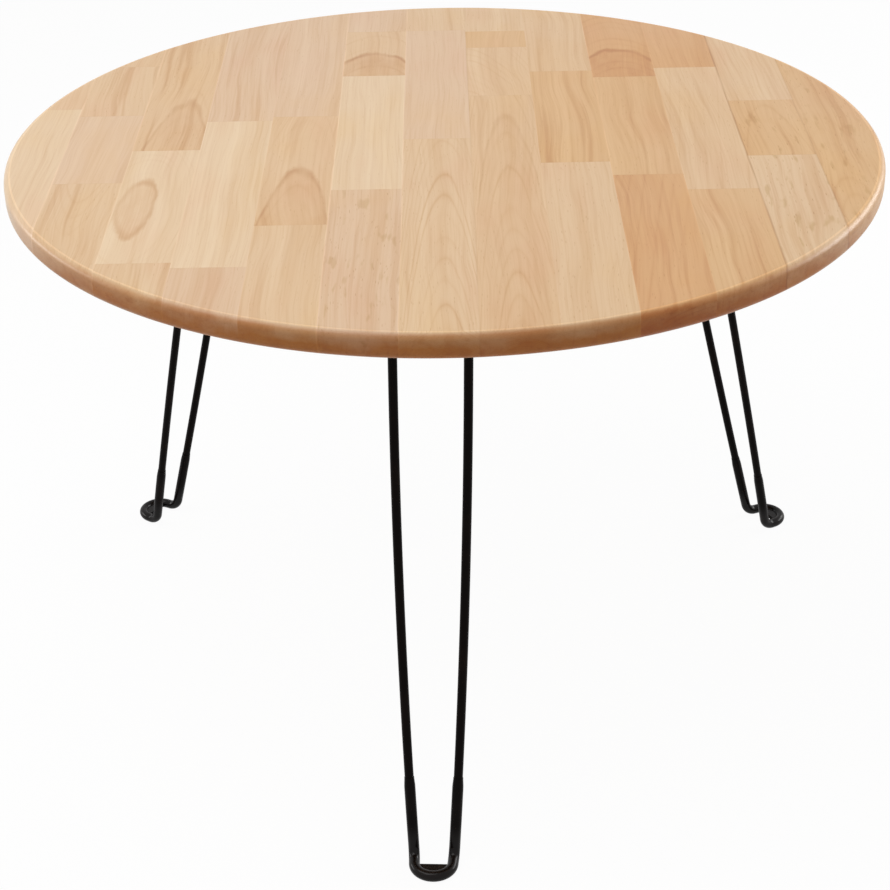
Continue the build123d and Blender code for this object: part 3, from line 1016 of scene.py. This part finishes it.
@dataclass
class HairpinLeg:
    """One bent wire and the sleeve over its foot, drawn outward from its hinge."""

    name: str
    wire_finish: bpy.types.Material
    sleeve_finish: bpy.types.Material
    wire_tree: bpy.types.NodeTree
    tube_tree: bpy.types.NodeTree
    splay: float = math.radians(14)
    wire_diameter: float = 6 * MM
    spread_at_hinge: float = 47.5 * MM
    spread_at_ankle: float = 27.2 * MM
    corner_radius: float = 8 * MM
    ankle_radius: float = 9 * MM
    toe_straight: float = 2 * MM
    sleeve_wall: float = 0.65 * MM
    sleeve_clearance: float = 0.05 * MM
    sleeve_top: float = 58 * MM
    mouth_taper: float = 7 * MM
    web_thickness: float = 3 * MM
    web_setback: float = 2 * MM
    web_rounding: float = 0.8 * MM
    weld: float = 0.004 * MM
    lip_share: float = 0.35
    sides: int = 28
    lip_steps: int = 4
    corner_steps: int = 12
    shin_steps: int = 40
    ankle_steps: int = 14
    toe_steps: int = 16
    fitting_passes: int = 4

    def __post_init__(self) -> None:
        """Find the hinge in the frame and settle the directions from it."""
        joint = next(j for j in frame["joints"] if j["child"] == f"{self.name}_leg")
        self.hinge = Vector(joint["pos_m"])
        self.sideways = Vector(joint["axis"]).normalized()
        self.outward = Vector((self.sideways.y, -self.sideways.x, 0.0))
        self.down = self.outward * math.sin(self.splay) - Vector((0, 0, math.cos(self.splay)))
        self.bore = self.wire_diameter / 2 + self.sleeve_clearance
        self.outside = self.bore + self.sleeve_wall

    def half_paths(self) -> tuple[list[Vector], list[Vector], Vector]:
        """Work out half of the wire, from the middle of its crossbar to the tip of its toe.

        Returns:
            The points down to the end of the shin, those of the ankle and toe after it, and the
            centre of the toe's bend.
        """
        reach = (self.hinge.z - self.outside) / math.cos(self.splay)
        shin = reach - self.corner_radius - self.ankle_radius
        for _ in range(self.fitting_passes):
            draw_in = 2 * math.atan2((self.spread_at_hinge - self.spread_at_ankle) / 2, shin)
            turn = math.acos(math.cos(draw_in) ** 2 * math.sin(self.splay) + math.sin(draw_in) ** 2)
            ankle = self.ankle_radius * math.tan(turn / 2)
            shin = reach - self.corner_radius - ankle * math.cos(draw_in)
        corner_start = self.hinge + self.sideways * (self.spread_at_hinge / 2 - self.corner_radius)
        corner_end = self.hinge + self.sideways * (self.spread_at_hinge / 2) + self.down * self.corner_radius
        aside = self.sideways * (self.spread_at_ankle / 2)
        ankle_start = self.hinge + aside + self.down * (self.corner_radius + shin)
        down_shin = self.down * math.cos(draw_in) - self.sideways * math.sin(draw_in)
        along_toe = self.outward * math.cos(draw_in) - self.sideways * math.sin(draw_in)
        ankle_end = ankle_start + (down_shin + along_toe) * ankle
        toe_start = ankle_end + along_toe * self.toe_straight
        aside = (toe_start - self.hinge).dot(self.sideways)
        toe_radius = aside / math.cos(draw_in)
        centre = toe_start - self.sideways * aside - self.outward * toe_radius * math.sin(draw_in)
        toe_tip = centre + self.outward * toe_radius

        leg = [self.hinge.copy(), corner_start]
        leg += tangent_arc(corner_start, corner_end, self.sideways, self.corner_steps)
        leg += tangent_arc(corner_end, ankle_start, self.down, self.shin_steps)
        foot = tangent_arc(ankle_start, ankle_end, down_shin, self.ankle_steps)
        foot += [toe_start]
        foot += tangent_arc(toe_start, toe_tip, along_toe, self.toe_steps)
        return leg, foot, centre

    def mirrored(self, half: list[Vector]) -> list[Vector]:
        """Add the other half of a path.

        Args:
            half: Points that end on the leg's middle plane.

        Returns:
            The half and its mirror image, as one run of points.
        """
        across = [p - self.sideways * (2 * (p - self.hinge).dot(self.sideways)) for p in half]
        return half + across[-2::-1]

    def curve(self, points: list[Vector], closed: bool) -> bpy.types.Curve:
        """Make a curve for a tree to follow.

        Args:
            points: The points it passes through.
            closed: Whether its end joins its start.

        Returns:
            The curve.
        """
        curve = bpy.data.curves.new(f"{self.name}_path", "CURVE")
        curve.dimensions = "3D"
        spline = curve.splines.new("POLY")
        spline.points.add(len(points) - 1)
        for slot, point in zip(spline.points, points):
            slot.co = (*point, 1.0)
        spline.use_cyclic_u = closed
        return curve

    def build_wire(self) -> bpy.types.Object:
        """Draw the bent wire.

        Returns:
            The wire, riding on its leg.
        """
        leg, foot, _ = self.half_paths()
        loop = self.mirrored(leg + foot)[:-1]
        values = {"Radius": self.wire_diameter / 2, "Sides": self.sides, "Finish": self.wire_finish}
        wire = from_nodes(f"{self.name}_wire", self.curve(loop, True), self.wire_tree, values)
        return self.fit(wire, "leg_rod")

    def build_sleeve(self) -> bpy.types.Object:
        """Draw the sleeve over the foot.

        Returns:
            The sleeve, riding on its leg.
        """
        leg, foot, centre = self.half_paths()
        first = next(i for i, point in enumerate(leg) if point.z < self.sleeve_top)
        above, below = leg[first - 1], leg[first]
        mouth = above.lerp(below, (above.z - self.sleeve_top) / (above.z - below.z))
        inward = (below - above).normalized()
        lip = self.sleeve_wall / 4
        shares = [step / self.lip_steps for step in range(self.lip_steps + 1)]
        rounding = [lip * (1 - math.cos(math.pi / 2 * share)) for share in shares]
        rounding += [self.mouth_taper * share for share in shares[1:]]
        half = [mouth + inward * step for step in rounding] + leg[first + 1:] + foot
        values = {
            "Bore": self.bore, "Outside": self.outside, "Taper": self.mouth_taper, "Lip": self.lip_share,
            "Weld": self.weld, "Sides": self.sides, "Finish": self.sleeve_finish,
        }
        path = self.curve(self.mirrored(half), False)
        sleeve = from_nodes(f"{self.name}_sleeve", path, self.tube_tree, values)
        self.add_web(sleeve.data, centre, (foot[-1] - centre).length)
        return self.fit(sleeve, "foot_sleeve")

    def add_web(self, mesh: bpy.types.Mesh, centre: Vector, toe_radius: float) -> None:
        """Close the bend of the toe with a flat web whose edge lies inside the sleeve's wall.

        Args:
            mesh: The sleeve's mesh, which the web is added to.
            centre: The centre of the toe's bend.
            toe_radius: The radius of the toe's bend.
        """
        reach = toe_radius - self.bore - self.sleeve_wall / 4
        turns = [math.pi * step / self.lip_steps / 2 for step in range(self.lip_steps + 1)]
        flat = self.web_thickness / 2 - self.web_rounding
        heights = [-flat - self.web_rounding * math.cos(turn) for turn in turns]
        lower = list(zip(heights, [self.web_rounding * (1 - math.sin(turn)) for turn in turns]))
        layers = lower + [(-height, inset) for height, inset in reversed(lower)]
        web = bmesh.new()
        web.from_mesh(mesh)
        rings = []
        for height, inset in layers:
            half_angle = math.acos((self.web_setback + inset) / reach)
            ring = []
            for step in range(self.sides + 1):
                angle = half_angle * (2 * step / self.sides - 1)
                place = self.outward * (reach * math.cos(angle)) + self.sideways * (reach * math.sin(angle))
                ring.append(web.verts.new(centre + place + Vector((0, 0, height))))
            rings.append(ring)
        web.faces.new(rings[0][::-1])
        web.faces.new(rings[-1])
        for face in skin(web, rings):
            face.smooth = True
        web.to_mesh(mesh)
        web.free()

    def fit(self, piece: bpy.types.Object, node: str) -> bpy.types.Object:
        """Hang a piece on the leg in the place of its node.

        Args:
            piece: The finished piece.
            node: The node's name without the leg's.

        Returns:
            The piece.
        """
        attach(piece, f"{self.name}_leg")
        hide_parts(f"{self.name}_{node}")
        log.info("%s: %d faces", piece.name, len(piece.data.polygons))
        return piece


# ---- screws


PLATE_HOLES = 4


def screw_tree() -> bpy.types.NodeTree:
    """Build the tree that sets a screw in each of a hinge plate's four holes, turned by chance.

    Returns:
        The geometry tree.
    """
    sizes = ("Tongue Reach", "Tongue Side", "Wing Reach", "Wing Side")
    inputs = {"Screw": "Geometry", **dict.fromkeys(sizes, "Float"), "Seed": "Int", "Finish": "Material"}
    sketch, given = new_group("set_screws", "GeometryNodeTree", inputs, {"Screws": "Geometry"})
    index = sketch.value("GeometryNodeInputIndex")
    on_wing = sketch.math("GREATER_THAN", index, 1.5)
    sign = 1.0 - sketch.math("MODULO", index, 2.0) * 2.0
    reach = sketch.choose(on_wing, given["Tongue Reach"], given["Wing Reach"])
    side = sketch.choose(on_wing, given["Tongue Side"], given["Wing Side"])
    place = sketch.value("ShaderNodeCombineXYZ", {"X": reach, "Y": side * sign})
    holes = sketch.value("GeometryNodeMeshLine", {"Count": PLATE_HOLES})
    holes = sketch.value("GeometryNodeSetPosition", {"Geometry": holes, "Position": place})
    feeds = {"Max_001": math.pi / 2, "Seed": given["Seed"]}
    chance = sketch.value("FunctionNodeRandomValue", feeds, pick=1)
    turn = sketch.value("ShaderNodeCombineXYZ", {"Z": chance})
    turn = sketch.value("FunctionNodeEulerToRotation", {"Euler": turn})
    feeds = {"Points": holes, "Instance": given["Screw"], "Rotation": turn}
    screws = sketch.value("GeometryNodeInstanceOnPoints", feeds)
    return sketch.give_mesh("Screws", screws, given["Finish"])


@dataclass
class PlateScrews:
    """The four countersunk wood screws of one hinge plate, with cross recesses and cut threads."""

    leg: HairpinLeg
    finish: bpy.types.Material
    tree: bpy.types.NodeTree
    seed: int
    hinge_reach: float = 195 * MM
    tongue_hole: tuple[float, float] = (156 * MM, 12 * MM)
    wing_hole: tuple[float, float] = (189 * MM, 34.25 * MM)
    length: float = 14 * MM
    tip: float = 4 * MM
    head_radius: float = 3.8 * MM
    shank_radius: float = 1.8 * MM
    arris: float = 0.1 * MM
    recess_arm: float = 1.9 * MM
    recess_half_width: float = 0.42 * MM
    recess_depth: float = 1.5 * MM
    recess_taper: float = 0.4
    thread_pitch: float = 1.3 * MM
    thread_depth: float = 0.45 * MM
    plain_shank: float = 2.6 * MM
    steps_per_turn: int = 8
    thread_flank: float = 3.0
    flat_rings: int = 3

    def around(self) -> list[float]:
        """Choose the angles that the screw is drawn at, with one at each corner of the recess.

        Returns:
            The angles, once round from 0.
        """
        corner = math.atan2(self.recess_half_width, self.recess_arm)
        gap = (math.pi / 4 - corner) / 3
        eighth = [0.0, corner, corner + gap, corner + 2 * gap, math.pi / 4]
        quarter = eighth + [math.pi / 2 - angle for angle in reversed(eighth[1:-1])]
        return [angle + math.pi / 2 * k for k in range(4) for angle in quarter]

    def cross(self, angle: float) -> float:
        """Give the reach of the cross recess at an angle.

        Args:
            angle: The angle round the screw.

        Returns:
            The distance from its axis to the recess's edge.
        """
        folded = angle % (math.pi / 2)
        folded = min(folded, math.pi / 2 - folded)
        ends = self.recess_arm / math.cos(folded)
        return ends if folded == 0.0 else min(ends, self.recess_half_width / math.sin(folded))

    def blank(self) -> bpy.types.Mesh:
        """Draw one screw standing on its head, its tip up.

        Returns:
            The screw's mesh.
        """
        angles = self.around()
        head_height = self.head_radius - self.shank_radius
        rings = [
            [(self.cross(a) * self.recess_taper, self.recess_depth) for a in angles],
            [(self.cross(a), 0.0) for a in angles],
            [(self.head_radius - 2 * self.arris, 0.0) for _ in angles],
            [(self.head_radius - 1.2 * self.arris, self.arris) for _ in angles],
            [(self.shank_radius, head_height) for _ in angles],
            [(self.shank_radius, head_height + self.plain_shank) for _ in angles],
        ]
        step = self.thread_pitch / self.steps_per_turn
        height = head_height + self.plain_shank + step
        while height < self.length - step:
            left = min(1.0, (self.length - height) / self.tip)
            ring = []
            for angle in angles:
                phase = (height / self.thread_pitch - angle / (2 * math.pi)) % 1.0
                cut = min(1.0, self.thread_flank * abs(phase - 0.5)) * self.thread_depth
                ring.append(((self.shank_radius - cut) * left, height))
            rings.append(ring)
            height += step
        shape = bmesh.new()
        loops = [
            [shape.verts.new((r * math.cos(a), r * math.sin(a), z)) for a, (r, z) in zip(angles, ring)]
            for ring in rings
        ]
        point = shape.verts.new((0, 0, self.length))
        shape.faces.new(loops[0][::-1])
        sides = skin(shape, loops)
        for k, corner in enumerate(loops[-1]):
            sides.append(shape.faces.new((corner, loops[-1][(k + 1) % len(angles)], point)))
        for face in sides[self.flat_rings * len(angles):]:
            face.smooth = True
        mesh = bpy.data.meshes.new("screw_blank")
        shape.to_mesh(mesh)
        shape.free()
        return mesh

    def build(self) -> bpy.types.Object:
        """Set the four screws and put them in the plate.

        Returns:
            The screws as one piece.
        """
        node = f"{self.leg.name}_plate_screws"
        face_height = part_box(node)[0][2]
        values = {
            "Tongue Reach": self.tongue_hole[0], "Tongue Side": self.tongue_hole[1],
            "Wing Reach": self.wing_hole[0], "Wing Side": self.wing_hole[1],
            "Seed": self.seed, "Finish": self.finish,
        }
        screws = from_nodes(f"{self.leg.name}_screws", self.blank(), self.tree, values)
        axis = self.leg.hinge - self.leg.outward * self.hinge_reach
        turned = Matrix((self.leg.outward, self.leg.sideways, Vector((0, 0, 1)))).transposed().to_4x4()
        turned.translation = Vector((axis.x, axis.y, face_height))
        screws.data.transform(turned)
        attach(screws, "top")
        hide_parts(node)
        log.info("%s: %d faces", screws.name, len(screws.data.polygons))
        return screws


# ---- setting


@dataclass(frozen=True)
class Softbox:
    """A rectangular lamp: where it hangs, its width and height, and its power in watts."""

    name: str
    place: Along
    size: tuple[float, float]
    power: float

    def hang(self, aim: Vector) -> None:
        """Hang the lamp.

        Args:
            aim: The point it faces.
        """
        light = bpy.data.lights.new(self.name, "AREA")
        light.shape = "RECTANGLE"
        light.size, light.size_y = self.size
        light.energy = self.power
        lamp = add_object(self.name, light)
        lamp.location = self.place
        lamp.rotation_euler = (aim - Vector(self.place)).to_track_quat("-Z", "Y").to_euler()


@dataclass
class Studio:
    """A white floor and soft light from above, with the camera in front and a little above."""

    camera_place: Along = (0.0, -1.34761, 0.9198)
    pitch: float = math.radians(-29.52)
    yaw: float = math.radians(-0.14)
    roll: float = math.radians(-1.13)
    lens: float = 84.14
    white: float = 0.983
    floor_tone: float = 0.8
    floor_roughness: float = 0.9
    floor_glow: float = 0.955
    fill: float = 0.3
    floor_size: float = 30.0
    aim: Along = (0.0, 0.0, 0.38)
    lamps: tuple[Softbox, ...] = (
        Softbox("overhead_light", (-0.6, -0.3, 2.1), (1.6, 1.6), 25.4),
        Softbox("edge_light", (1.8, 0.75, 0.85), (1.6, 0.7), 24.0),
        Softbox("side_light", (-1.9, 0.5, 0.6), (1.0, 0.4), 8.5),
    )

    def camera(self) -> None:
        """Place the camera."""
        camera = add_object("camera", bpy.data.cameras.new("camera"))
        camera.data.lens = self.lens
        camera.location = self.camera_place
        right = Vector((math.cos(self.yaw), -math.sin(self.yaw), 0))
        ahead = Vector((math.sin(self.yaw), math.cos(self.yaw), 0))
        forward = ahead * math.cos(self.pitch) + Vector((0, 0, math.sin(self.pitch)))
        up = right.cross(forward)
        level = Matrix((right, up, -forward)).transposed()
        camera.rotation_euler = (level @ Matrix.Rotation(self.roll, 3, "Z")).to_euler()
        bpy.context.scene.camera = camera

    def seen_directly(self, sketch: NodeSketch) -> Signal:
        """Tell rays that look at a thing, straight or in a gloss, from those that light it.

        Args:
            sketch: The sketch on the material's tree.

        Returns:
            1 for camera, glossy and transmission rays, and 0 for others.
        """
        path = sketch.values("ShaderNodeLightPath")
        seen = sketch.math("MAXIMUM", path["Is Camera Ray"], path["Is Glossy Ray"])
        return sketch.math("MAXIMUM", seen, path["Is Transmission Ray"])

    def floor(self) -> None:
        """Lay a floor that looks white and still keeps a soft shadow."""
        mesh = bpy.data.meshes.new("floor")
        half = self.floor_size / 2
        corners = [(-half, -half, 0), (half, -half, 0), (half, half, 0), (-half, half, 0)]
        mesh.from_pydata(corners, [], [(0, 1, 2, 3)])
        floor = add_object("floor", mesh)
        material, sketch, shader = new_material("white_floor")
        tone = (self.floor_tone, self.floor_tone, self.floor_tone, 1.0)
        feeds = {"Base Color": tone, "Roughness": self.floor_roughness, "Specular IOR Level": 0.0}
        sketch.feed(shader, feeds)
        glow = sketch.value("ShaderNodeEmission", {"Color": WHITE, "Strength": 1.0})
        share = self.seen_directly(sketch) * self.floor_glow
        feeds = {"Fac": share, "Shader": Signal(sketch, shader.outputs[0]), "Shader_001": glow}
        mixed = sketch.value("ShaderNodeMixShader", feeds)
        sketch.feed(material.node_tree.nodes["Material Output"], {"Surface": mixed})
        mesh.materials.append(material)

    def sky(self) -> None:
        """Set a white surround that lights the table only a little."""
        world = bpy.data.worlds.new("surround")
        world.use_nodes = True
        bpy.context.scene.world = world
        sketch = NodeSketch(world.node_tree)
        strength = self.seen_directly(sketch).ramp(0.0, 1.0, self.fill, self.white)
        sketch.feed(world.node_tree.nodes["Background"], {"Color": WHITE, "Strength": strength})

    def build(self) -> None:
        """Set up floor, surround, lamps and camera."""
        self.floor()
        self.sky()
        for lamp in self.lamps:
            lamp.hang(Vector(self.aim))
        self.camera()
        bpy.context.scene.view_settings.view_transform = "Standard"


# ---- the table


def dress_node(name: str, material: bpy.types.Material) -> None:
    """Give a CAD node its material.

    Args:
        name: The node's name.
        material: Its finish.
    """
    node = frame["nodes"][name]
    node.data.materials.clear()
    node.data.materials.append(material)


def main() -> None:
    """Build the table piece by piece."""
    logging.basicConfig(level=logging.INFO, format="%(message)s")
    GluedTop().build()
    paints = {finish: finish.value.material() for finish in Finish}
    wire_tree, tube_tree, set_tree = sweep_tree(), sleeve_tree(), screw_tree()
    for number, name in enumerate(("front", "right", "left"), start=1):
        leg = HairpinLeg(name, paints[Finish.WIRE_PAINT], paints[Finish.SLEEVE], wire_tree, tube_tree)
        leg.build_wire()
        leg.build_sleeve()
        dress_node(f"{name}_hinge_plate", paints[Finish.PLATE_PAINT])
        dress_node(f"{name}_friction_spring", paints[Finish.SPRING])
        dress_node(f"{name}_spring_rivets", paints[Finish.ZINC])
        PlateScrews(leg, paints[Finish.ZINC], set_tree, number).build()
    Studio().build()


if __name__ == "__main__":
    main()
